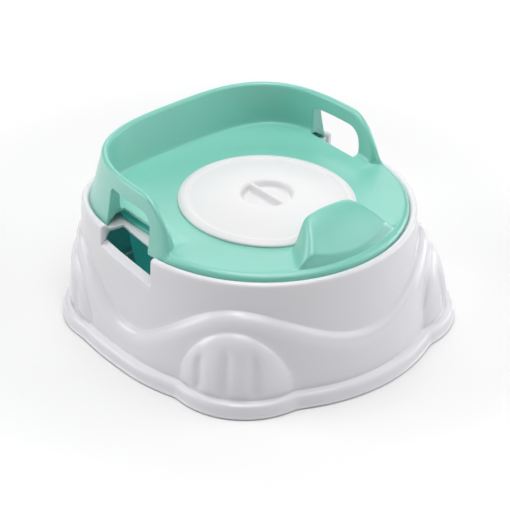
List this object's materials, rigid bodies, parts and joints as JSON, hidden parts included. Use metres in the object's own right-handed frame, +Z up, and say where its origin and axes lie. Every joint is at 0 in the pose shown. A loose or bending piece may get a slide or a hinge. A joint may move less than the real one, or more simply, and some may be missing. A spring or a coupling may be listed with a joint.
{
  "type": "potty training chair",
  "caption": "Low white potty chair with a wavy lobed base, mint seat ring with backrest, side handle openings and splash guard, lift-out bowl and lift-off lid.",
  "frame": {"origin": "centre of the footprint on the floor", "axes": "+Z up, -Y to the front where the splash guard is, +X to the sitter's left"},
  "size_m": [0.3626, 0.3724, 0.1875],
  "materials": {
    "base_plastic": "smooth moulded, satin gloss",
    "bowl_plastic": "polished moulded mint",
    "seat_plastic": "smooth moulded, slightly translucent mint",
    "lid_plastic": "smooth moulded, satin gloss",
    "foot_rubber": "matt moulded",
    "pad_rubber": "matt moulded"
  },
  "bodies": {
    "base": {"base_shell": "base_plastic", "foot_front_left": "foot_rubber", "foot_front_right": "foot_rubber", "foot_back_left": "foot_rubber", "foot_back_right": "foot_rubber"},
    "seat_ring": {"seat": "seat_plastic", "grip_pad_front_left": "pad_rubber", "grip_pad_front_right": "pad_rubber", "grip_pad_back_left": "pad_rubber", "grip_pad_back_right": "pad_rubber"},
    "lid_cover": {"lid": "lid_plastic"},
    "catch_bowl": {"bowl": "bowl_plastic"}
  },
  "joints": [
    {"name": "seat_lift", "type": "slide", "parent": "base", "child": "seat_ring", "axis": [0, 0, 1], "range_m": [0, 0.3]},
    {"name": "lid_lift", "type": "slide", "parent": "seat_ring", "child": "lid_cover", "axis": [0, 0, 1], "range_m": [0, 0.15]},
    {"name": "bowl_lift", "type": "slide", "parent": "base", "child": "catch_bowl", "axis": [0, 0, 1], "range_m": [0, 0.14]}
  ],
  "couplings": [
    {"joint": "bowl_lift", "follows": "seat_lift", "ratio": 0.45}
  ]
}
